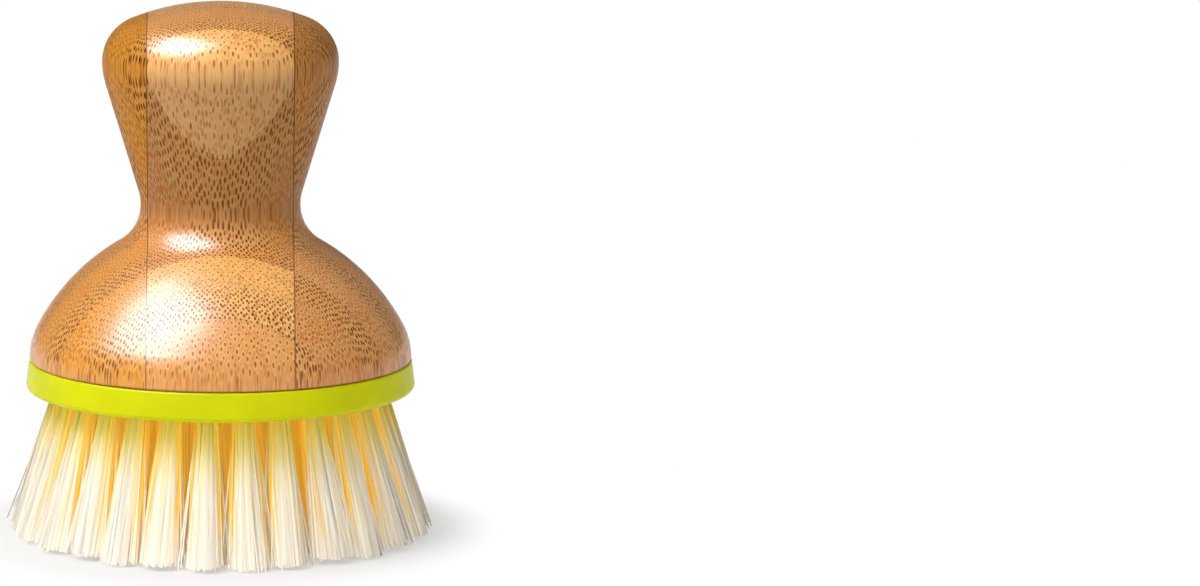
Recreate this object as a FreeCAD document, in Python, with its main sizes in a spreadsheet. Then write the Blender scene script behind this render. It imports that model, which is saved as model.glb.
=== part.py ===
import FreeCAD, Part
import math
import os
import re
import Sketcher

# Palm brush: a turned bamboo handle glued up from three boards, a moulded plate under it that carries
# four rings of bristle tufts, a metal anchor across the fold of every tuft, and one screw up the middle.
# The origin is the middle of the bristle tips, +Z runs up the handle and the front faces -Y.
# Sizes are millimetres and degrees.

SIZES = {
    # Bristle plate
    "bristle_length": 24.2,
    "plate_radius": 32.5,
    "rim_height": 4.8,
    "rim_draft": 0.45,
    "rim_lower_round": 0.8,
    "rim_upper_round": 0.4,
    "spigot_inset": 10.0,
    "spigot_height": 3.0,
    "spigot_chamfer": 0.6,
    # Tufts, their holes and their anchors
    "ring_inset": 6.5,
    "tip_spread": 6.0,
    "tip_gap": 0.15,
    "hole_radius": 1.9,
    "hole_floor": 1.3,
    "tuft_clearance": 0.05,
    "tuft_neck": 0.9,
    "fold_height": 0.8,
    "anchor_height": 1.6,
    "anchor_thickness": 0.4,
    "anchor_bite": 0.5,
    "anchor_clearance": 0.03,
    # Handle
    "plate_reveal": 0.6,
    "board_width": 24.0,
    "base_round": 0.5,
    "shoulder_round": 10.5,
    "dome_round": 35.9,
    "neck_cover": 1.3,
    "neck_height": 26.1,
    "neck_round": 7.5,
    "grip_length": 23.8,
    "knob_radius": 19.6,
    "knob_belly": 12.7,
    "knob_corner": 7.5,
    "crown_height": 9.8,
    "spigot_clearance": 0.15,
    "recess_clearance": 0.3,
    # Screw
    "screw_length": 18.0,
    "screw_radius": 1.5,
    "screw_point": 2.0,
    "head_radius": 3.0,
    "head_height": 2.0,
    "head_round": 1.2,
    "head_depth": 0.4,
    "head_clearance": 0.25,
    "drive_width": 0.9,
    "drive_span": 3.4,
    "drive_depth": 1.1,
    "shank_clearance": 0.15,
    "pilot_clearance": 0.05,
    "pilot_reserve": 1.0,
    # How far every cut runs past the face that it opens
    "overrun": 2.0,
}

# Counts, shares and the turn of the tuft rings: each ring has one step more tufts than the ring inside it,
# and the grooves between a tuft's ribs reach in to a share of its radius
COUNTS = {
    "tufts_per_step": 7,
    "tuft_sides": 10,
    "groove_share": 0.84,
    "tuft_turn": 8.18,
}

FULL_TURN = 360

# Tuft rings from the middle outwards
RINGS = ("inner", "second", "third", "outer")

# Sizes that follow from the ones above
DERIVED = {
    "plate_top": "bristle_length + rim_height",
    "wood_radius": "plate_radius - plate_reveal",
    "spigot_radius": "wood_radius - spigot_inset",
    "spigot_top": "plate_top + spigot_height",
    "head_seat": "bristle_length + head_depth + head_height",
    "screw_end": "head_seat + screw_length",
    "neck_radius": "board_width / 2 + neck_cover",
    "neck_level": "plate_top + neck_height",
    "knob_level": "neck_level + grip_length",
    "handle_top": "knob_level + crown_height",
    "tuft_radius": "hole_radius - tuft_clearance",
    "hole_height": "rim_height - hole_floor",
    "anchor_reach": "hole_radius + anchor_bite",
    "ring_step": f"(plate_radius - ring_inset) / {len(RINGS)}",
    "tip_step": f"ring_step + tip_spread / {len(RINGS)}",
    "tip_radius": f"tip_step * sin({FULL_TURN} / 2 / tufts_per_step) - tip_gap / 2",
}

UP = FreeCAD.Vector(0, 0, 1)
BACKWARDS = FreeCAD.Vector(0, -1, 0)
# A distance below this lies on the axis
NEAR_ZERO = 1e-9

doc = FreeCAD.newDocument("palm_brush")
sheet = doc.addObject("Spreadsheet::Sheet", "Sizes")


def fill_sheet():
    """Write the driving sizes as plain numbers and the sizes that follow from them as formulas."""
    cells = {alias: str(value) for alias, value in (SIZES | COUNTS).items()}
    cells.update({alias: "=" + formula for alias, formula in DERIVED.items()})
    for row, (alias, content) in enumerate(cells.items(), start=1):
        sheet.set(f"A{row}", alias)
        sheet.set(f"B{row}", content)
        sheet.setAlias(f"B{row}", alias)
    doc.recompute()


def size(formula):
    """Return the value of a formula written in the sheet's own names."""
    return float(sheet.evalExpression(formula))


def linked(formula):
    """Return the formula as an expression for another object, with each size read from the sheet."""
    names = "|".join(SIZES | COUNTS | DERIVED)
    return re.sub(rf"\b({names})\b", r"Sizes.\1", formula)


def origin_feature(body, role):
    """Return one of the body's own planes or axes."""
    return next(feature for feature in body.Origin.OriginFeatures if feature.Role == role)


def new_body(label):
    body = doc.addObject("PartDesign::Body", label)
    body.Label = label
    return body


def new_sketch(body, name, plane="XZ_Plane"):
    """Add a sketch on one of the body's planes. On XZ_Plane its axes run along X and Z."""
    sketch = body.newObject("Sketcher::SketchObject", name)
    sketch.AttachmentSupport = [(origin_feature(body, plane), "")]
    sketch.MapMode = "FlatFace"
    return sketch


def constrain(sketch, kind, formula, *places):
    """Add a dimension to the sketch and bind it to the sheet."""
    index = sketch.addConstraint(Sketcher.Constraint(kind, *places, size(formula)))
    sketch.setExpression(f"Constraints[{index}]", linked(formula))


def pin_across(sketch, geometry, point, formula, kind="DistanceX", axis=-2):
    """Hold a point at a distance from the sketch's origin, along one of its axes."""
    value = size(formula)
    if abs(value) < NEAR_ZERO:
        sketch.addConstraint(Sketcher.Constraint("PointOnObject", geometry, point, axis))
    elif value > 0:
        constrain(sketch, kind, formula, -1, 1, geometry, point)
    else:
        constrain(sketch, kind, f"-({formula})", geometry, point, -1, 1)


def pin(sketch, geometry, point, across, along):
    """Hold a point at the two given distances from the sketch's origin."""
    pin_across(sketch, geometry, point, across)
    pin_across(sketch, geometry, point, along, "DistanceY", -1)


def arc_between(start, end, radius):
    """Return the arc from start to end that turns anticlockwise with the given radius."""
    chord = end - start
    reach = math.sqrt(radius ** 2 - (chord.Length / 2) ** 2)
    centre = start + chord / 2 + UP.cross(chord).normalize() * reach
    first = math.atan2(start.y - centre.y, start.x - centre.x)
    last = math.atan2(end.y - centre.y, end.x - centre.x)
    return Part.ArcOfCircle(Part.Circle(centre, UP, radius), first, last)


def draw_loop(sketch, corners, rounds=None):
    """Draw a closed outline through corners given as pairs of formulas.

    Rounds maps the number of a corner to the radius of the anticlockwise arc that leaves it;
    every other corner is left along a straight line.
    """
    rounds = rounds or {}
    points = [FreeCAD.Vector(size(across), size(along), 0) for across, along in corners]
    for number, start in enumerate(points):
        end = points[(number + 1) % len(points)]
        if number in rounds:
            sketch.addGeometry(arc_between(start, end, size(rounds[number])))
        else:
            sketch.addGeometry(Part.LineSegment(start, end))
    for number, (across, along) in enumerate(corners):
        following = (number + 1) % len(corners)
        sketch.addConstraint(Sketcher.Constraint("Coincident", number, 2, following, 1))
        pin(sketch, number, 1, across, along)
    for number, radius in rounds.items():
        constrain(sketch, "Radius", radius, number)


def rectangle(left, low, right, high):
    """Return the corners of an upright rectangle."""
    return [(left, low), (right, low), (right, high), (left, high)]


def polygon(radius, sides):
    """Return the corners of a regular polygon about the sketch's origin."""
    turns = [FULL_TURN * number / sides for number in range(sides)]
    return [(f"({radius}) * cos({turn})", f"({radius}) * sin({turn})") for turn in turns]


def star(radius, groove_radius, points):
    """Return the corners of a star about the sketch's origin, with a groove after each point."""
    corners = polygon(radius, 2 * points)
    grooves = polygon(groove_radius, 2 * points)
    return [grooves[number] if number % 2 else corner for number, corner in enumerate(corners)]


def turn(body, name, sketch, kind="Revolution"):
    """Turn a half section about the upright axis of its sketch."""
    doc.recompute()
    feature = body.newObject(f"PartDesign::{kind}", name)
    feature.Profile = sketch
    feature.ReferenceAxis = (sketch, ["V_Axis"])
    feature.Angle = FULL_TURN
    doc.recompute()
    return feature


def slab(body, name, sketch, kind, thickness):
    """Pad or pocket a sketch by half of the thickness to each side of its plane."""
    doc.recompute()
    feature = body.newObject(f"PartDesign::{kind}", name)
    feature.Profile = sketch
    feature.SideType = "Symmetric"
    feature.setExpression("Length", linked(thickness))
    doc.recompute()
    return feature


def ring_of(body, name, count):
    """Repeat the whole body evenly round the Z axis."""
    pattern = body.newObject("PartDesign::PolarPattern", name)
    pattern.TransformMode = "Whole shape"
    pattern.Axis = (origin_feature(body, "Z_Axis"), [""])
    pattern.Angle = FULL_TURN
    pattern.setExpression("Occurrences", linked(count))
    body.Tip = pattern
    doc.recompute()


def turn_with_tufts(body):
    """Turn a body about Z so that a gap between outer tufts lies just right of the front."""
    body.setExpression("Placement.Rotation.Angle", linked("tuft_turn"))


class Ring:
    """One ring of tufts: its number, how many tufts it has and the lean of their holes."""

    def __init__(self, number, name):
        self.name = name
        self.root = f"{number} * ring_step"
        self.count = f"{number} * tufts_per_step"
        self.lean = f"atan({number} * (tip_step - ring_step) / bristle_length)"
        self.hole_depth = f"hole_height / cos({self.lean})"
        self.anchor_top = f"{self.hole_depth} - fold_height"
        self.anchor_low = f"{self.anchor_top} - anchor_height"

    def sketch(self, body, name):
        """Add an upright sketch whose vertical axis is the axis of this ring's hole on the +X side."""
        sketch = new_sketch(body, f"{self.name}_{name}")
        sketch.setExpression("AttachmentOffset.Base.x", linked(self.root))
        sketch.setExpression("AttachmentOffset.Base.y", linked("bristle_length"))
        sketch.setExpression("AttachmentOffset.Rotation.Angle", linked(self.lean))
        return sketch

    def section(self, body, name, below, corners):
        """Add a cross section of a tuft or hole, square to its axis and below the hole's mouth."""
        sketch = new_sketch(body, f"{self.name}_{name}", "XY_Plane")
        sketch.AttachmentOffset = FreeCAD.Placement(FreeCAD.Vector(), FreeCAD.Rotation(BACKWARDS, size(self.lean)))
        sketch.setExpression("AttachmentOffset.Rotation.Angle", linked(self.lean))
        sketch.setExpression("AttachmentOffset.Base.x", linked(f"{self.root} + {below} * sin({self.lean})"))
        sketch.setExpression("AttachmentOffset.Base.z", linked(f"bristle_length - {below} * cos({self.lean})"))
        draw_loop(sketch, corners)
        doc.recompute()
        return sketch


def make_plate(rings):
    """Moulded plate with a rounded rim, a spigot on top and four rings of leaning tuft holes."""
    body = new_body("plate_blank")
    outline = new_sketch(body, "plate_outline")
    rim_top = "plate_radius - rim_draft"
    draw_loop(outline, [
        ("0", "bristle_length"),
        ("plate_radius - rim_lower_round", "bristle_length"),
        ("plate_radius", "bristle_length + rim_lower_round"),
        (rim_top, "plate_top - rim_upper_round"),
        (f"{rim_top} - rim_upper_round", "plate_top"),
        ("spigot_radius", "plate_top"),
        ("spigot_radius", "spigot_top - spigot_chamfer"),
        ("spigot_radius - spigot_chamfer", "spigot_top"),
        ("0", "spigot_top"),
    ], rounds={1: "rim_lower_round", 3: "rim_upper_round"})
    turn(body, "plate", outline)
    bore = new_sketch(body, "screw_bore")
    draw_loop(bore, [
        ("0", "bristle_length - overrun"),
        ("head_radius + head_clearance", "bristle_length - overrun"),
        ("head_radius + head_clearance", "head_seat"),
        ("screw_radius + shank_clearance", "head_seat"),
        ("screw_radius + shank_clearance", "spigot_top + overrun"),
        ("0", "spigot_top + overrun"),
    ])
    turn(body, "screw_hole", bore, "Groove")
    holes = doc.addObject("Part::Compound", "tuft_holes")
    holes.Links = [make_hole_cutters(ring) for ring in rings]
    plate = doc.addObject("Part::Cut", "bristle_plate")
    plate.Label = "bristle_plate"
    plate.Base = body
    plate.Tool = holes
    doc.recompute()
    return plate


def make_hole_cutters(ring):
    """Shapes of one ring's tuft holes, each with the track that its anchor cuts on the way in."""
    body = new_body(f"{ring.name}_hole_cutters")
    hole = body.newObject("PartDesign::Pad", f"{ring.name}_hole")
    hole.Profile = ring.section(body, "mouth", "overrun", polygon("hole_radius", COUNTS["tuft_sides"]))
    hole.setExpression("Length", linked(f"overrun + {ring.hole_depth}"))
    doc.recompute()
    track = ring.sketch(body, "track")
    side = "anchor_reach + anchor_clearance"
    draw_loop(track, rectangle(f"-({side})", "-overrun", side, f"{ring.anchor_top} + anchor_clearance"))
    slab(body, f"{ring.name}_slot", track, "Pad", "anchor_thickness + 2 * anchor_clearance")
    ring_of(body, f"{ring.name}_hole_ring", ring.count)
    turn_with_tufts(body)
    return body


def make_tufts(ring):
    """Ring of tufts, each widening in ribs from its hole to tips trimmed level, with a window for its anchor."""
    body = new_body(f"{ring.name}_tufts")
    sides = COUNTS["tuft_sides"]
    reach = f"bristle_length / cos({ring.lean})"
    end = f"({reach} + tip_radius)"
    end_radius = f"(tuft_radius + (tip_radius - tuft_radius) * ({end} - tuft_neck) / ({reach} - tuft_neck))"
    root = body.newObject("PartDesign::Pad", f"{ring.name}_root")
    root.Profile = ring.section(body, "neck", "tuft_neck", polygon("tuft_radius", sides))
    root.setExpression("Length", linked(f"tuft_neck + {ring.hole_depth} - tuft_clearance"))
    doc.recompute()
    neck = ring.section(body, "neck_ribs", "tuft_neck", star("tuft_radius", "groove_share * tuft_radius", sides))
    spread = ring.section(body, "end_ribs", end, star(end_radius, f"groove_share * {end_radius}", sides))
    tuft = body.newObject("PartDesign::AdditiveLoft", f"{ring.name}_tuft")
    tuft.Profile = neck
    tuft.Sections = [spread]
    tuft.Ruled = True
    doc.recompute()
    window = ring.sketch(body, "window")
    draw_loop(window, rectangle(
        "-(anchor_reach)", f"{ring.anchor_low} - anchor_clearance",
        "anchor_reach", f"{ring.anchor_top} + anchor_clearance"))
    slab(body, f"{ring.name}_fold", window, "Pocket", "anchor_thickness + 2 * anchor_clearance")
    trim = new_sketch(body, f"{ring.name}_trim", "XY_Plane")
    trim.addGeometry(Part.Circle(FreeCAD.Vector(), UP, size("2 * plate_radius")))
    trim.addConstraint(Sketcher.Constraint("Coincident", 0, 3, -1, 1))
    constrain(trim, "Radius", "2 * plate_radius", 0)
    doc.recompute()
    level = body.newObject("PartDesign::Pocket", f"{ring.name}_level")
    level.Profile = trim
    level.setExpression("Length", linked("bristle_length"))
    doc.recompute()
    ring_of(body, f"{ring.name}_ring", ring.count)
    turn_with_tufts(body)
    return body


def make_anchors(ring):
    """Ring of flat metal anchors, each across the fold of its tuft and biting into both walls of the hole."""
    body = new_body(f"{ring.name}_anchors")
    outline = ring.sketch(body, "strip")
    draw_loop(outline, rectangle("-(anchor_reach)", ring.anchor_low, "anchor_reach", ring.anchor_top))
    slab(body, f"{ring.name}_anchor", outline, "Pad", "anchor_thickness")
    ring_of(body, f"{ring.name}_anchor_ring", ring.count)
    turn_with_tufts(body)
    return body


def make_screw():
    """Pan-head wood screw that stands head down, with a crossed drive recess in the head."""
    body = new_body("plate_screw")
    outline = new_sketch(body, "screw_outline")
    head_low = "head_seat - head_height"
    draw_loop(outline, [
        ("0", head_low),
        ("head_radius - head_round", head_low),
        ("head_radius", f"{head_low} + head_round"),
        ("head_radius", "head_seat"),
        ("screw_radius", "head_seat"),
        ("screw_radius", "screw_end - screw_point"),
        ("0", "screw_end"),
    ], rounds={1: "head_round"})
    turn(body, "screw", outline)
    for name, plane in (("first_slot", "XZ_Plane"), ("second_slot", "YZ_Plane")):
        slot = new_sketch(body, f"{name}_outline", plane)
        draw_loop(slot, rectangle(
            "-drive_span / 2", f"{head_low} - overrun", "drive_span / 2", f"{head_low} + drive_depth"))
        slab(body, name, slot, "Pocket", "drive_width")
    return body


def circles_meet(first, first_radius, second, second_radius):
    """Return the point nearer to the handle's axis where two circles meet."""
    apart = second - first
    along = (apart.Length ** 2 + first_radius ** 2 - second_radius ** 2) / (2 * apart.Length)
    aside = math.sqrt(first_radius ** 2 - along ** 2)
    middle = first + apart * (along / apart.Length)
    sideways = UP.cross(apart).normalize() * aside
    return min(middle + sideways, middle - sideways, key=lambda point: point.x)


def direction(start, end):
    """Return the angle of the line from one point to another."""
    return math.atan2(end.y - start.y, end.x - start.x)


def arc_about(centre, radius, first, last):
    """Return the anticlockwise arc about a centre from one angle to another."""
    return Part.ArcOfCircle(Part.Circle(centre, UP, radius), first, last)


def draw_handle(sketch):
    """Draw the half section of the handle: one chain of tangent arcs and the straight grip.

    The shoulder arc rises from the base and runs into the wide dome arc, the hollow neck arc turns
    the outline upright, the grip widens to the belly of the knob, and a small corner arc leads to the crown.
    """
    start, end, middle = 1, 2, 3
    base = size("plate_top + base_round")
    wood, shoulder, dome = size("wood_radius"), size("shoulder_round"), size("dome_round")
    hollow, belly, corner = size("neck_round"), size("knob_belly"), size("knob_corner")
    knob, level, top = size("knob_radius"), size("knob_level"), size("handle_top")
    foot_centre = FreeCAD.Vector(wood - size("base_round"), base, 0)
    shoulder_centre = FreeCAD.Vector(wood - shoulder, base, 0)
    neck_centre = FreeCAD.Vector(size("neck_radius + neck_round"), size("neck_level"), 0)
    dome_centre = circles_meet(shoulder_centre, dome - shoulder, neck_centre, dome + hollow)
    belly_centre = FreeCAD.Vector(knob - belly, level, 0)
    corner_centre = FreeCAD.Vector(knob - corner, level, 0)
    rise = top - level
    crown = (corner_centre.x ** 2 + rise ** 2 - corner ** 2) / (2 * (rise - corner))
    crown_centre = FreeCAD.Vector(0, top - crown, 0)
    shoulder_end = direction(dome_centre, shoulder_centre)
    dome_end = direction(dome_centre, neck_centre)
    across = belly_centre - neck_centre
    grip_angle = direction(neck_centre, belly_centre) - math.asin((hollow + belly) / across.Length)
    facing = grip_angle - math.pi / 2
    outward = FreeCAD.Vector(math.cos(facing), math.sin(facing), 0)
    crown_start = direction(crown_centre, corner_centre)
    foot = FreeCAD.Vector(0, size("plate_top"), 0)
    heel = FreeCAD.Vector(foot_centre.x, foot.y, 0)
    summit = FreeCAD.Vector(0, top, 0)
    chain = [
        Part.LineSegment(foot, heel),
        arc_about(foot_centre, size("base_round"), -math.pi / 2, 0),
        arc_about(shoulder_centre, shoulder, 0, shoulder_end),
        arc_about(dome_centre, dome, shoulder_end, dome_end),
        arc_about(neck_centre, hollow, facing + math.pi, dome_end + math.pi),
        Part.LineSegment(neck_centre - outward * hollow, belly_centre + outward * belly),
        arc_about(belly_centre, belly, facing, 0),
        arc_about(corner_centre, corner, 0, crown_start),
        arc_about(crown_centre, crown, crown_start, math.pi / 2),
        Part.LineSegment(summit, foot),
    ]
    floor, heel_arc, shoulder_arc, dome_arc, neck_arc, grip, belly_arc, corner_arc, crown_arc, axis = (
        sketch.addGeometry(piece) for piece in chain)
    joins = [
        (floor, end, heel_arc, start),
        (heel_arc, end, shoulder_arc, start),
        (shoulder_arc, end, dome_arc, start),
        (dome_arc, end, neck_arc, end),
        (neck_arc, start, grip, start),
        (grip, end, belly_arc, start),
        (belly_arc, end, corner_arc, start),
        (corner_arc, end, crown_arc, start),
    ]
    for join in joins:
        sketch.addConstraint(Sketcher.Constraint("Tangent", *join))
    sketch.addConstraint(Sketcher.Constraint("Coincident", crown_arc, end, axis, start))
    sketch.addConstraint(Sketcher.Constraint("Coincident", axis, end, floor, start))
    sketch.addConstraint(Sketcher.Constraint("Horizontal", floor))
    pin(sketch, floor, start, "0", "plate_top")
    pin(sketch, axis, start, "0", "handle_top")
    sketch.addConstraint(Sketcher.Constraint("PointOnObject", crown_arc, middle, -2))
    pin(sketch, heel_arc, end, "wood_radius", "plate_top + base_round")
    pin(sketch, neck_arc, middle, "neck_radius + neck_round", "neck_level")
    pin(sketch, belly_arc, end, "knob_radius", "knob_level")
    sketch.addConstraint(Sketcher.Constraint("Horizontal", belly_arc, middle, belly_arc, end))
    for arc, radius in (
        (heel_arc, "base_round"), (shoulder_arc, "shoulder_round"), (dome_arc, "dome_round"),
        (neck_arc, "neck_round"), (belly_arc, "knob_belly"), (corner_arc, "knob_corner"),
    ):
        constrain(sketch, "Radius", radius, arc)


def make_handle():
    """Whole turned handle, with a recess for the plate's spigot and a pilot hole for the screw."""
    body = new_body("turned_handle")
    outline = new_sketch(body, "handle_outline")
    draw_handle(outline)
    turn(body, "handle", outline)
    recess = new_sketch(body, "recess_outline")
    recess_top = "spigot_top + recess_clearance"
    pilot = "screw_radius + pilot_clearance"
    draw_loop(recess, [
        ("0", "plate_top - overrun"),
        ("spigot_radius + spigot_clearance", "plate_top - overrun"),
        ("spigot_radius + spigot_clearance", recess_top),
        (pilot, recess_top),
        (pilot, "screw_end + pilot_reserve"),
        ("0", "screw_end + pilot_reserve"),
    ])
    turn(body, "recess", recess, "Groove")
    return body


def make_board(handle, label, low_edge, width):
    """One board of the handle: the part of the turned shape that an upright blank covers."""
    box = doc.addObject("Part::Box", f"{label}_blank")
    box.setExpression("Length", linked(width))
    box.setExpression("Width", linked("2 * plate_radius"))
    box.setExpression("Height", linked("handle_top + overrun"))
    box.setExpression("Placement.Base.x", linked(low_edge))
    box.setExpression("Placement.Base.y", linked("-plate_radius"))
    board = doc.addObject("Part::Common", label)
    board.Label = label
    board.Base = handle
    board.Tool = box
    doc.recompute()
    return board


def make_boards():
    """Centre board and the two boards glued to its sides."""
    handle = make_handle()
    return [
        make_board(handle, "handle_left_board", "-board_width / 2 - plate_radius", "plate_radius"),
        make_board(handle, "handle_centre_board", "-board_width / 2", "board_width"),
        make_board(handle, "handle_right_board", "board_width / 2", "plate_radius"),
    ]


def check_document(pieces):
    """Stop if any object failed or any piece has no sound shape."""
    for item in doc.Objects:
        if "Invalid" in item.State or "Error" in item.State:
            raise RuntimeError(f"{item.Label} failed: {item.State}")
    for piece in pieces:
        if piece.Shape.isNull() or not piece.Shape.isValid():
            raise RuntimeError(f"{piece.Label} has no valid shape")


def main():
    fill_sheet()
    rings = [Ring(number, name) for number, name in enumerate(RINGS, start=1)]
    pieces = make_boards()
    pieces.append(make_plate(rings))
    pieces.extend(make_tufts(ring) for ring in rings)
    pieces.extend(make_anchors(ring) for ring in rings)
    pieces.append(make_screw())
    doc.recompute()
    check_document(pieces)
    os.makedirs("parts", exist_ok=True)
    for piece in pieces:
        piece.Shape.exportStep(f"parts/{piece.Label}.step")
        box = piece.Shape.BoundBox
        print(f"{piece.Label}: {len(piece.Shape.Solids)} solids, volume {piece.Shape.Volume:.1f},"
              f" z {box.ZMin:.2f} to {box.ZMax:.2f}, x {box.XMin:.2f} to {box.XMax:.2f}")


main()
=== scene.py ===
"""Palm brush with a laminated bamboo handle, a lime plate and cream tufts, dressed over its CAD frame."""

import math
from collections import namedtuple

import bpy
import numpy as np
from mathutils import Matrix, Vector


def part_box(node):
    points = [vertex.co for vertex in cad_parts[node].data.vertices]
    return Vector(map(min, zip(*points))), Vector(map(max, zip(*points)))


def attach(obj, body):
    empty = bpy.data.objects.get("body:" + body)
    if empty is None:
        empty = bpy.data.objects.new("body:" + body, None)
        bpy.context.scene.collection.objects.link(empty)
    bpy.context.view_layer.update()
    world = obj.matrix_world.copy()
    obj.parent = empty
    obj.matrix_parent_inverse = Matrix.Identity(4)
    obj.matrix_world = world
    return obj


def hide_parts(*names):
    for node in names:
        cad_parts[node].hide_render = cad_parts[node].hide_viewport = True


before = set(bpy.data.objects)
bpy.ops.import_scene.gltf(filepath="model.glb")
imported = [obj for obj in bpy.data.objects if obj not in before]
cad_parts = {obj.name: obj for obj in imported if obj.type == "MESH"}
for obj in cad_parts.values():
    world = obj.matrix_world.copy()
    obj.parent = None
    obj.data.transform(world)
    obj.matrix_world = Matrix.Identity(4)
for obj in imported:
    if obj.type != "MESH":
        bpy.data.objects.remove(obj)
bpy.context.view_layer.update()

bl_info = {
    "name": "Palm brush",
    "version": (1, 0, 0),
    "blender": (4, 5, 0),
    "location": "View3D > Sidebar > Palm brush",
    "description": "Bristles, finishes and a stage for a palm brush with a bamboo handle",
    "category": "Object",
}

# Lengths are in metres, as the frame's are.
MM = 0.001
FULL_TURN = 2 * math.pi
GOLDEN_TURN = math.pi * (3 - math.sqrt(5))

BODY = "root"
RINGS = ("inner", "second", "third", "outer")

PLATE_LOW, PLATE_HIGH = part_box("bristle_plate")
BOARD_LOW, BOARD_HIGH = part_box("handle_centre_board")

# Where painted shade darkens the handle's grip, as it faces down under the knob, and the length over which
# that fades. It ends below the knob's top on the centre board and takes in the whole knob on the side boards.
GRIP_LOW, GRIP_HIGH, GRIP_FADE = 50 * MM, 82 * MM, 6 * MM
SIDE_GRIP_HIGH = 96 * MM

# The height where the dome turns up into the neck, and the lengths over which the look of the fibres changes
# below that height and above the handle's foot.
DOME_TOP, DOME_FADE = 50 * MM, 6 * MM
FOOT_FADE = 6 * MM

# The painted shade at the handle's foot, in the crease against the plate: how far up it reaches, and how far up
# it is full.
FOOT_SHADE_HIGH, FOOT_SHADE_FULL = 0.5 * MM, 0.15 * MM

# Heights of the relief on bamboo and on moulded plastic.
GRAIN_RELIEF = 0.08 * MM
PEEL_RELIEF = 0.02 * MM

# Waves to the metre along X, Y and Z of each noise in the finishes.
WANDER_WAVES = (60, 60, 110)
GRAIN_WAVES = (2600, 2600, 170)
STREAK_WAVES = (1100, 1100, 40)
BAND_WAVES = (330, 330, 14)
CLOUD_WAVES = (90, 90, 160)
PEEL_WAVES = (1600, 1600, 1600)
METAL_WAVES = (150, 150, 6000)

# The middle of a noise that runs from 0 to 1.
MIDDLE = 0.5

# What the lamps are turned to, their places, sizes and tints, and half the floor's side.
LAMP_AIM = (0, 0, 0.045)
KEY_PLACE = (-0.341, -0.186, 0.603)
KEY_SIZE = (0.36, 0.34)
GLEAM_SIZE = (0.48, 0.46)
GLEAM_TINT = (0.78, 0.8, 1)
PANEL_SIZE = (3, 1.8)
FRONT_PLACE = (0, -0.986, 0.88)
BACK_PLACE = (0, 0.986, 0.88)
FLOOR_HALF = 3

# Plain colours.
WHITE = (1, 1, 1)
BLACK = (0, 0, 0)

# The photograph's frame, in its own pixels.
PHOTO_WIDE = 1200
PHOTO_MIDDLE = PHOTO_WIDE / 2


def linear(*channels):
    """A screen colour of three channels from 0 to 255, as the linear colour that shaders take."""
    shares = np.array(channels) / 255
    dark = shares / 12.92
    bright = ((shares + 0.055) / 1.055) ** 2.4
    return tuple(np.where(shares <= 0.04045, dark, bright).tolist())


def length(name, description, default):
    """A property that holds a length in metres."""
    return bpy.props.FloatProperty(
        name=name, description=description, default=default, unit="LENGTH", subtype="DISTANCE", precision=5
    )


def share(name, description, default):
    """A property that holds a share from 0 to 1."""
    return bpy.props.FloatProperty(
        name=name, description=description, default=default, min=0, max=1, subtype="FACTOR"
    )


def colour(name, description, default):
    """A property that holds a linear colour."""
    return bpy.props.FloatVectorProperty(
        name=name, description=description, default=default, min=0, max=1, size=3, subtype="COLOR"
    )


class BambooSettings(bpy.types.PropertyGroup):
    """Sizes and colours of the handle's laminated bamboo."""

    strip_depth: length("Strip depth", "Front to back depth of one bamboo strip", 9.7 * MM)
    strip_start: length("Strip start", "Place along Y of a seam between strips, at floor height", -18.7 * MM)
    strip_lean: share("Strip lean", "How far back a seam of strips leans, as a share of its height", 0.04)
    wide_spacing: length("Wide spacing", "Distance between fibre bundles where they lie far apart", 0.84 * MM)
    close_spacing: length("Close spacing", "Distance between fibre bundles where they crowd", 0.6 * MM)
    fibre_radius: length("Fibre radius", "Radius of a fibre bundle where they lie far apart", 0.165 * MM)
    fibre_drift: length("Fibre drift", "How far a fibre bundle wanders sideways as it rises", 0.5 * MM)
    glue_width: length("Glue line", "Width of the dark line that glue leaves on a board's edge", 0.14 * MM)
    pale_left: colour("Pale left", "Colour of the left board's palest strips", linear(244, 170, 54))
    pale_centre: colour("Pale centre", "Colour of the centre board's palest strips", linear(252, 186, 108))
    pale_right: colour("Pale right", "Colour of the right board's palest strips", linear(230, 174, 122))
    deep: colour("Deep wood", "Colour of the deepest strips", linear(196, 100, 6))
    halo: colour("Halo", "Colour of the wood round a fibre bundle", linear(255, 206, 116))
    # Painted shade on the grip: how much of each board's colour its grip keeps, for the shade where it faces down
    # under the knob.
    grip_shade_left: colour("Grip shade left", "What the left grip keeps of its colour", (0.72, 0.7, 0.5))
    grip_shade_centre: colour("Grip shade centre", "What the centre grip keeps of its colour", (0.6, 0.65, 0.9))
    grip_shade_right: colour("Grip shade right", "What the right grip keeps of its colour", (0.64, 0.6, 0.45))
    fibre: colour("Fibre", "Colour of a cut fibre bundle", linear(140, 68, 4))
    dense_fibre: colour("Dense fibre", "Colour of a cut fibre bundle where they crowd", linear(98, 40, 0))
    glue: colour("Glue", "Colour of the glue lines", linear(118, 62, 20))


class PlateSettings(bpy.types.PropertyGroup):
    """Finish of the moulded plate."""

    lime: colour("Lime", "Colour of the moulded plate", linear(219, 222, 0))
    lime_deep: colour("Deep lime", "Colour that the plate's tone drifts to", linear(208, 212, 0))
    passed: colour("Light passed", "Colour of the light that comes through the plate", linear(236, 238, 130))
    light_share: share("Light share", "Share of the light that each face of the plate lets through", 0.7)
    roughness: share("Roughness", "How matt the moulded skin is", 0.38)


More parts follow.
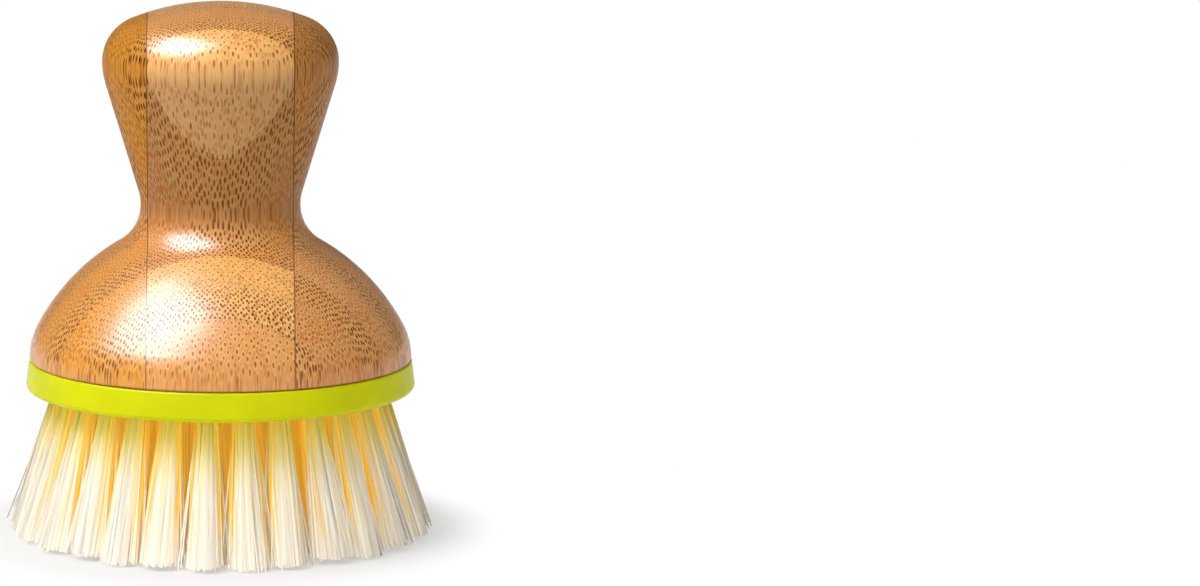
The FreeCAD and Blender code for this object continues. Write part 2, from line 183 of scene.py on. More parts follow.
class BristleSettings(bpy.types.PropertyGroup):
    """Sizes and colours of the tufts."""

    ring_inset: length("Ring inset", "Distance from the plate's edge to the outer ring of holes", 6.5 * MM)
    tip_spread: length("Tip spread", "How far the outer tufts' tips stand outside their holes", 6 * MM)
    root_radius: length("Root radius", "Radius of a tuft in its hole", 1.7 * MM)
    tip_radius: length("Tip radius", "Radius of a tuft at its tips", 3.4 * MM)
    root_depth: length("Root depth", "How far the filaments run up into their hole", 1.5 * MM)
    filament_width: length("Filament width", "Width of one filament", 0.26 * MM)
    trim_scatter: length("Trim scatter", "How much the trimmed tips differ in height", 0.9 * MM)
    bend: length("Bend", "How far a filament bows sideways at its middle", 0.2 * MM)
    tuft_lean: length("Tuft lean", "How far a whole tuft's tips leave their place in the ring", 0.45 * MM)
    stray_reach: length("Stray reach", "How far a stray filament's tip leaves its tuft", 2.6 * MM)
    stray_share: share("Stray share", "Share of filaments that stray", 0.12)
    skin_share: share("Skin share", "Share of a tuft's section that half of its filaments keep to", 0.4)
    groove_depth: share("Groove depth", "Share of a tuft's radius that its grooves take", 0.16)
    ribs: bpy.props.IntProperty(name="Ribs", description="Ribs round a tuft", default=10, min=3)
    light_share: share("Light passed", "Share of the light that each face of a filament lets through", 0.985)
    tufts_per_ring: bpy.props.IntProperty(
        name="Tufts per ring", description="Tufts in the inner ring, and how many more each next ring has",
        default=7, min=3,
    )
    filaments: bpy.props.IntProperty(
        name="Filaments", description="Filaments in one tuft", default=460, min=10
    )
    first_turn: bpy.props.FloatProperty(
        name="First tuft", description="Angle from +X to each ring's first tuft",
        default=math.radians(8.18), subtype="ANGLE",
    )
    seed: bpy.props.IntProperty(name="Seed", description="Seed of the tufts' scatter", default=28, min=0)
    # Painted glow: emission, though the filaments are no lamp, that lifts them where the lamps leave them dark.
    amber_painted_glow: share("Amber painted glow", "Light that amber filaments carry, as a share of their colour", 0.32)
    cream_painted_glow: share("Cream painted glow", "Light that cream filaments carry, as a share of their colour", 0.15)
    # Amber paints the shade between and inside the tufts, coloured as by light passed through many filaments.
    # Root shade paints the shade under the plate, with a painted reflection of the lime.
    cream: colour("Cream", "Colour of the outer filaments", linear(255, 249, 236))
    amber: colour("Amber", "Colour of the filaments inside", linear(250, 200, 66))
    shaded: colour("Root shade", "Colour of the filaments next to the plate", linear(236, 218, 96))


class StageSettings(bpy.types.PropertyGroup):
    """Camera, lamps and floor."""

    camera_place: bpy.props.FloatVectorProperty(
        name="Camera place", description="Where the camera stands", default=(0, -0.7, 0.1573),
        subtype="TRANSLATION", unit="LENGTH",
    )
    camera_pitch: bpy.props.FloatProperty(
        name="Camera pitch", description="How far the camera looks down", default=math.radians(9.515),
        subtype="ANGLE",
    )
    camera_lens: bpy.props.FloatProperty(
        name="Lens", description="Focal length in millimetres on a 36 mm sensor", default=127.52, min=1
    )
    brush_pixel: bpy.props.FloatProperty(
        name="Brush pixel", description="Column of the photograph that holds the brush's axis", default=220.5
    )
    key_power: bpy.props.FloatProperty(
        name="Key power", description="Power of the softbox above on the left",
        default=3.3, min=0, unit="POWER",
    )
    fill_power: bpy.props.FloatProperty(
        name="Fill power", description="Power of the wide panel in front", default=12.5, min=0, unit="POWER"
    )
    back_power: bpy.props.FloatProperty(
        name="Back power", description="Power of the wide panel behind", default=5.0, min=0, unit="POWER"
    )
    gleam_power: bpy.props.FloatProperty(
        name="Gleam power", description="Power of the card that only gloss mirrors",
        default=11.0, min=0, unit="POWER",
    )
    world_level: bpy.props.FloatProperty(
        name="World level", description="Brightness of the light from all round", default=0.17, min=0
    )
    floor_glow: share("Floor glow", "Share of the floor's white that takes no shadow", 0.45)
    shadow_reach: length("Shadow reach", "How far from the brush's axis the floor shows its shadow", 48 * MM)


class Socket:
    """An output of a node. Arithmetic on it adds Math nodes to the same finish."""

    def __init__(self, finish, output):
        self.finish = finish
        self.output = output

    def maths(self, operation, *others):
        """This value put through a Math node, with the other values in order."""
        return self.finish.node("ShaderNodeMath", {"operation": operation}, dict(enumerate((self, *others))))

    def other(self, name):
        """Another output of the same node."""
        return Socket(self.finish, self.output.node.outputs[name])

    def __add__(self, value):
        return self.maths("ADD", value)

    __radd__ = __add__

    def __sub__(self, value):
        return self.maths("SUBTRACT", value)

    def __rsub__(self, value):
        return self.finish.node("ShaderNodeMath", {"operation": "SUBTRACT"}, {0: value, 1: self})

    def __mul__(self, value):
        return self.maths("MULTIPLY", value)

    __rmul__ = __mul__

    def __truediv__(self, value):
        return self.maths("DIVIDE", value)

    def __rtruediv__(self, value):
        return self.finish.node("ShaderNodeMath", {"operation": "DIVIDE"}, {0: value, 1: self})


class Finish:
    """The node tree of a material or world, and the ways to add to it."""

    def __init__(self, owner):
        owner.use_nodes = True
        self.owner = owner
        self.tree = owner.node_tree
        self.tree.nodes.clear()

    def node(self, kind, settings=None, sockets=None, out=0):
        """Add a node of a kind, make its settings, give its inputs values or links, and return one output."""
        made = self.tree.nodes.new(kind)
        for name, value in (settings or {}).items():
            if name == "stops":
                set_stops(made.color_ramp, value)
            elif name == "steps":
                made.color_ramp.interpolation = "CONSTANT"
            else:
                setattr(made, name, value)
        for name, value in (sockets or {}).items():
            socket = made.inputs[name]
            if isinstance(value, Socket):
                self.tree.links.new(value.output, socket)
            elif socket.type == "RGBA" and len(value) == 3:
                socket.default_value = (*value, 1)
            else:
                socket.default_value = value
        return Socket(self, made.outputs[out]) if made.outputs else None

    def mix(self, factor, first, second, blend="MIX"):
        """The first colour blended towards the second by a factor."""
        settings = {"data_type": "RGBA", "blend_type": blend}
        return self.node("ShaderNodeMix", settings, {0: factor, 6: first, 7: second}, out=2)

    def fade(self, value, start, end):
        """0 before start and 1 after end, with a smooth step between; start may be the larger."""
        settings = {"interpolation_type": "SMOOTHSTEP"}
        return self.node("ShaderNodeMapRange", settings, {"Value": value, "From Min": start, "From Max": end})

    def vector(self, operation, *operands):
        """The operands put through a Vector Math node."""
        return self.node("ShaderNodeVectorMath", {"operation": operation}, dict(enumerate(operands)))

    def noise(self, place, scale, detail=2):
        """Noise from 0 to 1 at a place, with scale waves to the metre on each axis."""
        spread = self.vector("MULTIPLY", place, scale)
        return self.node("ShaderNodeTexNoise", None, {"Vector": spread, "Scale": 1, "Detail": detail})

    def axes(self, place):
        """The three parts of a vector."""
        parts = self.node("ShaderNodeSeparateXYZ", None, {0: place})
        return parts, parts.other("Y"), parts.other("Z")

    def let_light(self, shader, amount, tint):
        """The shader of a cloudy material that lets a share of the lamps' light through, in a tint."""
        shadow = self.node("ShaderNodeLightPath", out="Is Shadow Ray")
        clear = self.node("ShaderNodeBsdfTransparent", None, {"Color": tint})
        return self.node("ShaderNodeMixShader", None, {0: shadow * amount, 1: shader, 2: clear})

    def surface(self, shader):
        """Make a shader the material's surface."""
        self.node("ShaderNodeOutputMaterial", None, {"Surface": shader})
        return self.owner


def set_stops(ramp, stops):
    """Give a colour ramp its stops, each a place and a colour."""
    while len(ramp.elements) < len(stops):
        ramp.elements.new(0)
    for element, (place, shade) in zip(ramp.elements, stops):
        element.position = place
        element.color = (*shade, 1)


def new_finish(name):
    """A finish with its own new material."""
    return Finish(bpy.data.materials.new(name))


def wear(node, material):
    """Give a CAD node's object a material."""
    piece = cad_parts[node]
    if not piece.material_slots:
        piece.data.materials.append(None)
    for slot in piece.material_slots:
        slot.material = material


def blended(first, second, amount):
    """A colour part of the way from the first to the second."""
    return tuple(a + (b - a) * amount for a, b in zip(first, second))


def fibre_bundles(finish, place, spacing, radius):
    """Upright fibre bundles some spacing apart, as dots in X and Y, and the paler wood round them.

    Both are 0 to 1. A bundle is a cell of a square pattern turned by an eighth, with its middle moved by chance,
    and each has its own lot of size and darkness.
    """
    turned = finish.node("ShaderNodeMapping", None, {"Vector": place, "Rotation": (0, 0, FULL_TURN / 8)})
    cells = finish.node(
        "ShaderNodeTexVoronoi",
        {"voronoi_dimensions": "2D", "feature": "F1"},
        {"Vector": turned, "Scale": 1 / spacing, "Randomness": 0.45},
        out="Distance",
    )
    least_size, size_range = 0.85, 0.3
    least_dark, dark_range = 0.7, 0.3
    dot_edge, dot_core = 1.25, 0.7
    glow_edge, glow_core = 2.8, 1.4
    lot, size_lot, _ = finish.axes(cells.other("Color"))
    own_radius = (size_lot * size_range + least_size) * (radius / spacing)
    dots = finish.fade(cells, own_radius * dot_edge, own_radius * dot_core)
    glow = finish.fade(cells, own_radius * glow_edge, own_radius * glow_core)
    return dots * (lot * dark_range + least_dark), glow - dots


# One board's own wood: its palest colour, what its grip keeps of that under painted shade and how high the grip
# goes, whether fibres crowd in the front of each strip, how deep each strip's tone is, front strip first, how
# strong its grain is, what its grip keeps of the fibres' darkness, how matt its wood is and how much lacquer it
# has.
Board = namedtuple("Board", "pale handled grip_high dense_in_front tones grain grip_fibres roughness coat")


def bamboo(name, settings, board):
    """Laminated bamboo: strips stacked front to back, with upright fibre bundles that crowd to one side.

    A bundle is a cell of a pattern in X and Y, so it shows as a dot on a level face, a dash on a slope and a
    streak on an upright one.
    """
    finish = new_finish(name)
    place = finish.node("ShaderNodeTexCoord", out="Object")
    x, y, z = finish.axes(place)
    above_foot = z - BOARD_LOW.z

    # Each strip has one tone, and the grip is darker than the rest, which is painted shade.
    strips = (y - z * settings.strip_lean - settings.strip_start) / settings.strip_depth
    within = strips.maths("FRACT")
    crowding = 1 - within if board.dense_in_front else within
    front_strip = math.floor((BOARD_LOW.y - settings.strip_start) / settings.strip_depth)
    count = len(board.tones)
    colours = [blended(board.pale, settings.deep, tone) for tone in board.tones]
    stops = [(number / count, shade) for number, shade in enumerate(colours)]
    from_front = (strips - front_strip) / count
    wood = finish.node("ShaderNodeValToRGB", {"stops": stops, "steps": True}, {0: from_front})
    grip_shade = finish.fade(z, GRIP_LOW, GRIP_LOW + GRIP_FADE)
    grip_shade = grip_shade * finish.fade(z, board.grip_high, board.grip_high - GRIP_FADE)

    # Fibre bundles are fainter on the knob's upright faces and next to the foot, where they run into streaks.
    crowd_start, crowd_full = 0.35, 0.7
    dense_size = 1.1
    slope, wall = 0.3, 0.05
    wall_loss, foot_loss = 0.25, 0.45
    wander = finish.noise(place, WANDER_WAVES, detail=1).other("Color")
    drift = (settings.fibre_drift, settings.fibre_drift, 0)
    drifted = finish.vector("MULTIPLY_ADD", wander, drift, place)
    thin, thin_glow = fibre_bundles(finish, drifted, settings.wide_spacing, settings.fibre_radius)
    dense_radius = settings.fibre_radius * dense_size
    thick, thick_glow = fibre_bundles(finish, drifted, settings.close_spacing, dense_radius)
    close = finish.fade(crowding, crowd_start, crowd_full)
    _, _, rise = finish.axes(finish.node("ShaderNodeNewGeometry", out="Normal"))
    over_dome = finish.fade(z, DOME_TOP - DOME_FADE, DOME_TOP)
    upright = finish.fade(rise.maths("ABSOLUTE"), slope, wall) * over_dome
    shown = (1 - upright * wall_loss) * (1 - finish.fade(above_foot, FOOT_FADE, 0) * foot_loss)
    fibres = (thin + (thick - thin) * close) * shown
    halo = (thin_glow + (thick_glow - thin_glow) * close) * shown

    # Wood is deeper where fibres crowd and along its grain, streaks and bands.
    crowd_depth, streak_depth, band_depth = 0.45, 0.5, 0.9
    streak_start, streak_full = 0.36, 0.64
    halo_share = 0.4
    thin_share, dense_extra = 0.85, 0.15
    grain = finish.noise(place, GRAIN_WAVES, detail=3)
    streaks = finish.fade(finish.noise(place, STREAK_WAVES), streak_start, streak_full)
    bands = finish.noise(place, BAND_WAVES)
    depth = crowding * crowding * crowd_depth + (grain - MIDDLE) * board.grain
    depth = depth + (streaks - MIDDLE) * streak_depth + (bands - MIDDLE) * band_depth
    wood = finish.mix(depth, wood, settings.deep)
    wood = finish.mix(halo * halo_share, wood, settings.halo)
    fibre = finish.mix(close, settings.fibre, settings.dense_fibre)
    kept = 1 - grip_shade * (1 - board.grip_fibres)
    wood = finish.mix(fibres * (close * dense_extra + thin_share) * kept, wood, fibre)

    # A dark line shows at the centre board's two edges, and a faint one between strips. The dark line at the foot
    # is painted shade in the crease against the plate.
    glue_share, seam_share, foot_shade_share = 0.9, 0.05, 0.6
    seam_edge, seam_core = 0.015, 0.004
    edge = (x.maths("ABSOLUTE") - BOARD_HIGH.x).maths("ABSOLUTE")
    glue = finish.fade(edge, settings.glue_width, settings.glue_width / 4) * glue_share
    seam = finish.fade(within.maths("PINGPONG", 0.5), seam_edge, seam_core) * seam_share
    # Painted shade: a dark line at the foot, where the handle meets the plate, in the glue colour.
    foot = finish.fade(above_foot, FOOT_SHADE_HIGH, FOOT_SHADE_FULL) * foot_shade_share
    lines = glue.maths("MAXIMUM", seam).maths("MAXIMUM", foot)
    wood = finish.mix(lines, wood, settings.glue)
    # Painted shade: the grip is darkened by a multiplied tint, for the shade where it faces down under the knob.
    wood = finish.mix(grip_shade, wood, board.handled, blend="MULTIPLY")

    # The lacquer is worn off the grip, the part that also takes the painted shade, and is thinner over fibres.
    grip_wear, fibre_wear = 0.95, 0.3
    grain_height = 0.5
    fibre_roughness, grain_roughness = 0.15, 0.1
    relief = grain * grain_height - fibres
    sheen = (1 - grip_shade * grip_wear) * (1 - fibres * fibre_wear) * (grain + MIDDLE)
    bump = finish.node(
        "ShaderNodeBump", None, {"Strength": 0.5, "Distance": GRAIN_RELIEF, "Height": relief}, out="Normal"
    )
    shader = finish.node(
        "ShaderNodeBsdfPrincipled",
        None,
        {
            "Base Color": wood,
            "Roughness": fibres * fibre_roughness + (grain - MIDDLE) * grain_roughness + board.roughness,
            "Normal": bump,
            "Specular IOR Level": 0.12,
            "Specular Tint": (1, 0.6, 0.25),
            "Coat Weight": board.coat * sheen,
            "Coat Roughness": 0.29,
            "Coat IOR": 1.65,
        },
    )
    return finish.surface(shader)


def lime_plastic(name, settings):
    """Moulded plastic: a near even lime with a slow drift of tone and the faint orange peel of a moulding."""
    finish = new_finish(name)
    place = finish.node("ShaderNodeTexCoord", out="Object")
    cloud_start, cloud_full = 0.3, 0.7
    peel_roughness = 0.12
    cloud = finish.noise(place, CLOUD_WAVES)
    peel = finish.noise(place, PEEL_WAVES)
    bump = finish.node(
        "ShaderNodeBump", None, {"Strength": 0.1, "Distance": PEEL_RELIEF, "Height": peel}, out="Normal"
    )
    lime = finish.mix(finish.fade(cloud, cloud_start, cloud_full), settings.lime, settings.lime_deep)
    shader = finish.node(
        "ShaderNodeBsdfPrincipled",
        None,
        {
            "Base Color": lime,
            "Roughness": (peel - MIDDLE) * peel_roughness + settings.roughness,
            "Normal": bump,
            "Specular IOR Level": 0.12,
        },
    )
    return finish.surface(finish.let_light(shader, settings.light_share, settings.passed))


def drawn_metal(name, bright, dull, roughness):
    """Drawn or turned metal: fine rings of brighter and duller metal, a little rougher where dull."""
    finish = new_finish(name)
    place = finish.node("ShaderNodeTexCoord", out="Object")
    ring_roughness = 0.2
    rings = finish.noise(place, METAL_WAVES, detail=3)
    shader = finish.node(
        "ShaderNodeBsdfPrincipled",
        None,
        {
            "Base Color": finish.mix(rings, bright, dull),
            "Roughness": rings * ring_roughness + roughness,
            "Metallic": 1,
        },
    )
    return finish.surface(shader)


def bristle_finish(name, settings):
    """Bristle: painted shade next to the plate, tinted with a painted reflection of the lime, then cream or amber
    as the filament's lot has it, paler at the tips.

    The amber is painted shade between and inside the tufts. Each filament has a painted glow, a share of its
    colour given off as light, amber ones the most.
    """
    finish = new_finish(name)
    along = finish.node("ShaderNodeAttribute", {"attribute_name": "along"}, out="Fac")
    strand = finish.node("ShaderNodeAttribute", {"attribute_name": "strand"}, out="Fac")
    amber_end, amber_full = 1.1, 0.6
    root_full, root_end = 0.1, 0.6
    glow_warmth, passed_amber, passed_share = 0.2, 0.5, 0.1
    least_roughness, roughness_range = 0.4, 0.15
    # Amber is painted shade between and inside the tufts, fading out towards the tips.
    amber = finish.fade(strand, 0, 1) * finish.fade(along, amber_end, amber_full)
    lower = finish.mix(amber, settings.cream, settings.amber)
    # Painted shade next to the plate, tinted with a painted reflection of the lime, fading out down the filament.
    root = finish.mix(strand, settings.shaded, settings.amber)
    whole = finish.mix(finish.fade(along, root_full, root_end), root, lower)
    # Painted glow: each filament gives off a share of its colour as light, amber ones the most.
    cream_glow_share = settings.cream_painted_glow / settings.amber_painted_glow
    glow_colour = finish.mix(glow_warmth, whole, settings.amber)
    painted_glow = finish.mix(amber * (1 - cream_glow_share) + cream_glow_share, BLACK, glow_colour)
    body = finish.node(
        "ShaderNodeBsdfPrincipled",
        None,
        {
            "Base Color": whole,
            "Roughness": strand * roughness_range + least_roughness,
            "Emission Color": painted_glow,
            "Emission Strength": settings.amber_painted_glow,
        },
    )
    passed = blended(settings.cream, settings.amber, passed_amber)
    through = finish.node("ShaderNodeBsdfTranslucent", None, {"Color": passed})
    rod = finish.node("ShaderNodeMixShader", None, {0: passed_share, 1: body, 2: through})
    return finish.surface(finish.let_light(rod, settings.light_share, WHITE))


def new_piece(name, points, faces, material, smooth=True):
    """An object at the origin from an array of points and an array of faces."""
    mesh = bpy.data.meshes.new(name)
    mesh.from_pydata(points.reshape(-1, 3), [], faces, shade_flat=not smooth)
    mesh.materials.append(material)
    piece = bpy.data.objects.new(name, mesh)
    bpy.context.scene.collection.objects.link(piece)
    return piece


def unit(vectors):
    """The vectors, each with length 1."""
    return vectors / np.linalg.norm(vectors, axis=-1, keepdims=True)


def slim_rods(roots, tips, bows, width, turns, steps):
    """Points and faces of three-sided rods, one for each root.

    A rod's middle line is root + (tip - root) s + bow 4 s (1 - s), where s runs from 0 at the root to 1 at the
    tip. The corners of a cross-section lie on a circle about that line, turned by the rod's own angle. Both ends
    are closed.
    """
    sides = 3
    s = np.linspace(0, 1, steps)[None, :, None]
    line = roots[:, None] + (tips - roots)[:, None] * s + bows[:, None] * (4 * s * (1 - s))
    lengthwise = unit(tips - roots)
    across = unit(np.cross(lengthwise, (1, 0, 0)))
    other = np.cross(lengthwise, across)
    angle = turns[:, None] + FULL_TURN * np.arange(sides) / sides
    corner = np.cos(angle)[..., None] * across[:, None] + np.sin(angle)[..., None] * other[:, None]
    points = line[:, :, None] + corner[:, None] * (width / 2)

    index = np.arange(points[..., 0].size).reshape(points.shape[:3])
    nearer, further = index[:, :-1], index[:, 1:]
    walls = np.stack([nearer, np.roll(nearer, -1, axis=2), np.roll(further, -1, axis=2), further], axis=-1)
    ends = np.concatenate([index[:, 0, ::-1], index[:, -1]])
    return points, walls.reshape(-1, walls.shape[-1]).tolist() + ends.tolist()


def tuft_lines(ring, settings, scatter):
    """Root, tip, bow and facing of every filament in a ring, and how amber it is, from 0 to 1.

    A tuft is a disc of filaments laid on a golden spiral, where every other filament keeps to the disc's skin,
    and the disc has a rib and a groove in turn round its edge. The disc at the hole grows into a wider one at the
    tips, whose middle stands further out. Every tip is moved a little by chance, and a stray's tip further. A
    filament faces the way that its tuft's skin does, square to its own length, so that a tuft takes light as one
    soft bundle. In the outer ring the filaments at a tuft's flanks and inside it are amber, which paints the
    shade between tufts, a few more are amber by chance, and strays are pale. Those of the inner rings are all
    amber.
    """
    outward_lean, outward_stray = 0.6, 0.5
    least_flare, most_flare = 0.86, 1.06
    mean_bow = -0.8
    flank_start, flank_range = 0.45, 0.4
    inside_start, inside_range = 0.2, 0.8
    chance_amber, flank_amber, inside_amber = 0.6, 0.8, 0.6
    stray_amber, inner_amber = 0.3, 0.8
    outward_facing, facing_scatter = 0.5, 0.3

    tufts = settings.tufts_per_ring * ring
    each = settings.filaments
    outer_ring = PLATE_HIGH.x - settings.ring_inset
    ring_radius = outer_ring * ring / len(RINGS)
    tip_ring = (outer_ring + settings.tip_spread) * ring / len(RINGS)

    turn = settings.first_turn + FULL_TURN * np.arange(tufts) / tufts
    level = np.zeros(tufts)
    outwards = np.stack([np.cos(turn), np.sin(turn), level], axis=-1)[:, None]
    sideways = np.stack([-np.sin(turn), np.cos(turn), level], axis=-1)[:, None]
    upwards = np.array([0, 0, 1])

    number = np.arange(each) + 0.5
    fill = number / each
    in_skin = np.arange(each) % 2 == 0
    spiral = GOLDEN_TURN * number + scatter.uniform(0, FULL_TURN, (tufts, 1))
    groove = 1 - np.abs(2 * (spiral * settings.ribs / FULL_TURN % 1) - 1)
    reach = np.sqrt(np.where(in_skin, 1 - settings.skin_share * fill, fill))
    reach = reach * (1 - settings.groove_depth * groove)
    disc = (reach * np.cos(spiral))[..., None] * outwards + (reach * np.sin(spiral))[..., None] * sideways

    lean = (tip_ring - ring_radius) / PLATE_LOW.z
    root_ring = ring_radius - lean * settings.root_depth
    roots = root_ring * outwards + settings.root_radius * disc + (PLATE_LOW.z + settings.root_depth) * upwards

    lean_aside = settings.tuft_lean * scatter.normal(0, 1, (tufts, 1, 1)) * sideways
    lean_out = settings.tuft_lean * scatter.normal(0, outward_lean, (tufts, 1, 1)) * outwards
    flare = settings.tip_radius * scatter.uniform(least_flare, most_flare, (tufts, 1, 1))
    stray = scatter.uniform(0, 1, (tufts, each, 1)) < settings.stray_share
    reach_out = np.where(stray, settings.stray_reach, settings.filament_width)
    chance = scatter.uniform(-1, 1, (tufts, each, 1)) * sideways
    chance = chance + scatter.uniform(-outward_stray, outward_stray, (tufts, each, 1)) * outwards
    trim = scatter.uniform(0, settings.trim_scatter, (tufts, each, 1))
    trim = trim + scatter.uniform(0, settings.trim_scatter, (tufts, 1, 1)) + settings.filament_width / 4
    middle = tip_ring * outwards + lean_aside + lean_out
    tips = middle + flare * disc + reach_out * chance + trim * upwards

    bows = scatter.normal(0, 1, (tufts, each, 1)) * sideways
    bows = bows + scatter.normal(mean_bow, 1, (tufts, each, 1)) * outwards
    chance_lot = scatter.uniform(0, 1, (tufts, each))
    aside = np.clip((np.abs(reach * np.sin(spiral)) - flank_start) / flank_range, 0, 1)
    inside = np.clip((inside_start - reach * np.cos(spiral)) / inside_range, 0, 1)
    if ring == len(RINGS):
        strand = np.clip(chance_lot ** 3 * chance_amber + aside * flank_amber + inside * inside_amber, 0, 1)
        strand = np.where(stray[..., 0], chance_lot * stray_amber, strand)
    else:
        strand = inner_amber + chance_lot * (1 - inner_amber)

    lengthwise = unit(tips - roots)
    facing = disc + outwards * outward_facing + scatter.normal(0, facing_scatter, (tufts, each, 3))
    facing = unit(facing - (facing * lengthwise).sum(axis=-1, keepdims=True) * lengthwise)
    parts = roots, tips, settings.bend * bows, facing
    return [part.reshape(-1, 3) for part in parts] + [strand.ravel()]


def add_attribute(piece, name, values):
    """Keep one number for each vertex of a piece."""
    kept = piece.data.attributes.new(name, "FLOAT", "POINT")
    kept.data.foreach_set("value", np.ascontiguousarray(values, dtype=np.float32).ravel())


class PALM_OT_handle(bpy.types.Operator):
    """Give the three boards of the handle their bamboo"""

    bl_idname = "palm_brush.handle"
    bl_label = "Finish the handle"

    def execute(self, context):
        settings = context.scene.palm_bamboo
        left = Board(
            pale=settings.pale_left, handled=settings.grip_shade_left, grip_high=SIDE_GRIP_HIGH,
            dense_in_front=True, tones=(0.3, 0.35, 0.5, 0.6, 0.3, 0.5, 0.4),
            grain=5, grip_fibres=1, roughness=0.48, coat=1,
        )
        centre = Board(
            pale=settings.pale_centre, handled=settings.grip_shade_centre, grip_high=GRIP_HIGH,
            dense_in_front=True, tones=(0.42, 0.05, 0.65, 0.3, 0.5, 0.2, 0.45),
            grain=3, grip_fibres=0.65, roughness=0.4, coat=1,
        )
        right = Board(
            pale=settings.pale_right, handled=settings.grip_shade_right, grip_high=SIDE_GRIP_HIGH,
            dense_in_front=False, tones=(0.4, 0.5, 0.35, 0.45, 0.4, 0.25, 0.5),
            grain=5, grip_fibres=1, roughness=0.42, coat=0.6,
        )
        for side, board in (("left", left), ("centre", centre), ("right", right)):
            wear(f"handle_{side}_board", bamboo(f"bamboo_{side}", settings, board))
        return {"FINISHED"}


class PALM_OT_plate(bpy.types.Operator):
    """Give the plate its lime plastic"""

    bl_idname = "palm_brush.plate"
    bl_label = "Finish the plate"

    def execute(self, context):
        wear("bristle_plate", lime_plastic("lime_plastic", context.scene.palm_plate))
        return {"FINISHED"}


class PALM_OT_fixings(bpy.types.Operator):
    """Give the screw and the tufts' anchors their metal"""

    bl_idname = "palm_brush.fixings"
    bl_label = "Finish the fixings"

    def execute(self, context):
        wear("plate_screw", drawn_metal("screw_steel", linear(205, 206, 208), linear(150, 152, 156), 0.25))
        wire = drawn_metal("anchor_wire", linear(214, 190, 140), linear(160, 136, 92), 0.3)
        for ring in RINGS:
            wear(f"{ring}_anchors", wire)
        return {"FINISHED"}


class PALM_OT_bristles(bpy.types.Operator):
    """Make the four rings of tufts, filament by filament"""

    bl_idname = "palm_brush.bristles"
    bl_label = "Make the bristles"

    def execute(self, context):
        settings = context.scene.palm_bristles
        scatter = np.random.default_rng(settings.seed)
        material = bristle_finish("bristle", settings)
        steps = 3
        for number, ring in enumerate(RINGS, start=1):
            roots, tips, bows, facing, strand = tuft_lines(number, settings, scatter)
            turns = scatter.uniform(0, FULL_TURN, strand.shape)
            points, faces = slim_rods(roots, tips, bows, settings.filament_width, turns, steps)
            name = f"{ring}_bristles"
            piece = new_piece(name, points, faces, material)
            piece.data.normals_split_custom_set_from_vertices(
                np.broadcast_to(facing[:, None, None], points.shape).reshape(-1, 3)
            )
            shape = points.shape[:3]
            add_attribute(piece, "along", np.broadcast_to(np.linspace(0, 1, steps)[None, :, None], shape))
            add_attribute(piece, "strand", np.broadcast_to(strand[:, None, None], shape))
            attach(piece, BODY)
            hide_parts(f"{ring}_tufts")
        return {"FINISHED"}


def shown_ray(finish):
    """1 for the rays by which the floor is seen, straight or in gloss or glass, and 0 for the light it gives."""
    path = finish.node("ShaderNodeLightPath", out="Is Camera Ray")
    seen = path.maths("MAXIMUM", path.other("Is Glossy Ray"))
    return seen.maths("MAXIMUM", path.other("Is Transmission Ray"))


def white_floor(settings):
    """Pale floor: white where it is seen, with the shadow near the brush, and clear when seen from below."""
    finish = new_finish("pale_floor")
    place = finish.node("ShaderNodeTexCoord", out="Object")
    away = finish.node("ShaderNodeVectorMath", {"operation": "LENGTH"}, {0: place}, out="Value")
    pale, half_pale = (0.9, 0.9, 0.9), (0.4, 0.4, 0.4)
    shadow_full = settings.shadow_reach * 0.7
    plain = finish.node("ShaderNodeBsdfDiffuse", None, {"Color": pale})
    lit = finish.node("ShaderNodeBsdfDiffuse", None, {"Color": half_pale})
    bright = finish.node("ShaderNodeEmission", None, {"Strength": settings.floor_glow})
    white = finish.node("ShaderNodeEmission", None, {"Strength": 1})
    near = finish.node("ShaderNodeAddShader", None, {0: lit, 1: bright})
    distance = finish.fade(away, shadow_full, settings.shadow_reach)
    seen = finish.node("ShaderNodeMixShader", None, {0: distance, 1: near, 2: white})
    both = finish.node("ShaderNodeMixShader", None, {0: shown_ray(finish), 1: plain, 2: seen})
    clear = finish.node("ShaderNodeBsdfTransparent")
    back = finish.node("ShaderNodeNewGeometry", out="Backfacing")
    return finish.surface(finish.node("ShaderNodeMixShader", None, {0: back, 1: both, 2: clear}))


def add_lamp(name, power, size, place, tint=WHITE, lights=True, gleams=True):
    """A rectangular area lamp turned towards the brush, that lights surfaces, gleams in gloss, or both."""
    data = bpy.data.lights.new(name, "AREA")
    data.shape = "RECTANGLE"
    data.energy = power
    data.color = tint
    data.size, data.size_y = size
    lamp = bpy.data.objects.new(name, data)
    lamp.visible_diffuse = lights
    lamp.visible_transmission = lights
    lamp.visible_glossy = gleams
    lamp.location = place
    towards = np.array(LAMP_AIM) - np.array(place)
    flat = math.hypot(towards[0], towards[1])
    lamp.rotation_euler = (math.atan2(flat, -towards[2]), 0, math.atan2(towards[1], towards[0]) - math.pi / 2)
    bpy.context.scene.collection.objects.link(lamp)


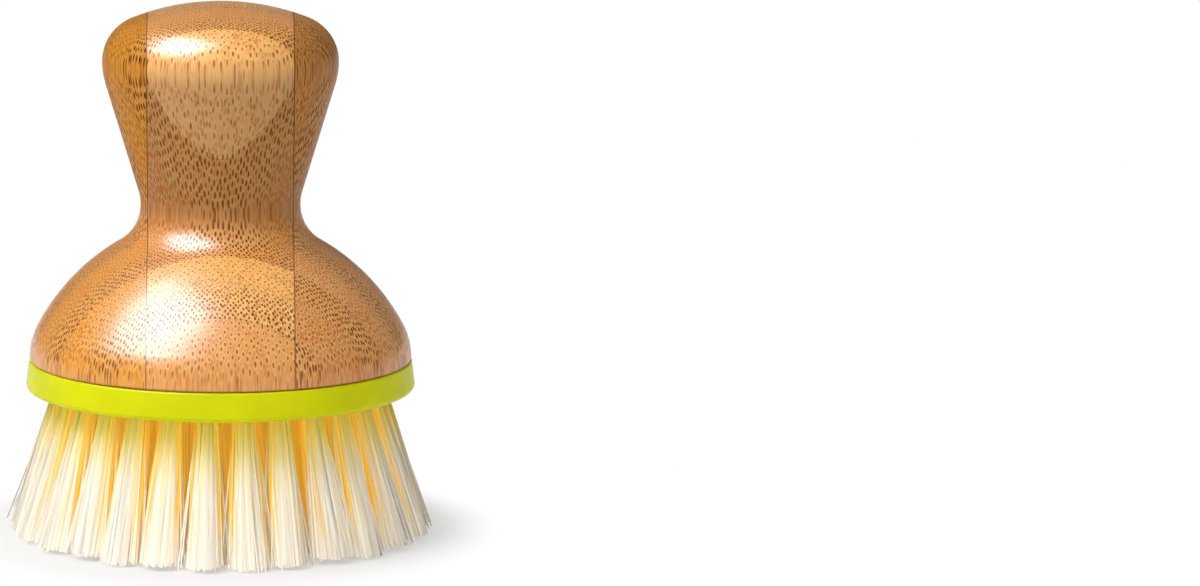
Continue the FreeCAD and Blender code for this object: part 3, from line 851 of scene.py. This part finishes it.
class PALM_OT_stage(bpy.types.Operator):
    """Set the camera, the lamps, the plain world and the pale floor"""

    bl_idname = "palm_brush.stage"
    bl_label = "Set the stage"

    def execute(self, context):
        scene = context.scene
        settings = scene.palm_stage
        scene.view_settings.view_transform = "Standard"

        data = bpy.data.cameras.new("camera")
        data.lens = settings.camera_lens
        data.shift_x = (PHOTO_MIDDLE - settings.brush_pixel) / PHOTO_WIDE
        camera = bpy.data.objects.new("camera", data)
        camera.location = settings.camera_place
        camera.rotation_euler = (math.pi / 2 - settings.camera_pitch, 0, 0)
        scene.collection.objects.link(camera)
        scene.camera = camera

        add_lamp("key_softbox", settings.key_power, KEY_SIZE, KEY_PLACE)
        add_lamp("gleam_card", settings.gleam_power, GLEAM_SIZE, KEY_PLACE, GLEAM_TINT, lights=False)
        add_lamp("front_panel", settings.fill_power, PANEL_SIZE, FRONT_PLACE, gleams=False)
        add_lamp("back_panel", settings.back_power, PANEL_SIZE, BACK_PLACE, gleams=False)

        world = Finish(bpy.data.worlds.new("plain_room"))
        light = world.node("ShaderNodeBackground", None, {"Color": WHITE, "Strength": settings.world_level})
        world.node("ShaderNodeOutputWorld", None, {"Surface": light})
        scene.world = world.owner

        half = FLOOR_HALF
        corners = np.array([(-half, -half, 0), (half, -half, 0), (half, half, 0), (-half, half, 0)])
        floor = new_piece("floor", corners, np.array([(0, 1, 2, 3)]), white_floor(settings), smooth=False)
        return {"FINISHED"}


GROUPS = {
    "palm_bamboo": BambooSettings,
    "palm_plate": PlateSettings,
    "palm_bristles": BristleSettings,
    "palm_stage": StageSettings,
}
OPERATORS = (PALM_OT_handle, PALM_OT_plate, PALM_OT_fixings, PALM_OT_bristles, PALM_OT_stage)


class VIEW3D_PT_palm_brush(bpy.types.Panel):
    """Sizes, colours and steps of the palm brush"""

    bl_label = "Palm brush"
    bl_space_type = "VIEW_3D"
    bl_region_type = "UI"
    bl_category = "Palm brush"

    def draw(self, context):
        for group, settings_class in GROUPS.items():
            box = self.layout.box()
            settings = getattr(context.scene, group)
            for name in settings_class.__annotations__:
                box.prop(settings, name)
        for operator in OPERATORS:
            self.layout.operator(operator.bl_idname)


CLASSES = (*GROUPS.values(), *OPERATORS, VIEW3D_PT_palm_brush)


def register():
    """Add the classes, and the settings to every scene."""
    for kind in CLASSES:
        bpy.utils.register_class(kind)
    for group, settings_class in GROUPS.items():
        setattr(bpy.types.Scene, group, bpy.props.PointerProperty(type=settings_class))


def unregister():
    """Take the settings and the classes away again."""
    for group in GROUPS:
        delattr(bpy.types.Scene, group)
    for kind in reversed(CLASSES):
        bpy.utils.unregister_class(kind)


def main():
    """Dress the frame piece by piece and set the stage."""
    register()
    bpy.ops.palm_brush.handle()
    bpy.ops.palm_brush.plate()
    bpy.ops.palm_brush.fixings()
    bpy.ops.palm_brush.bristles()
    bpy.ops.palm_brush.stage()


if __name__ == "__main__":
    main()
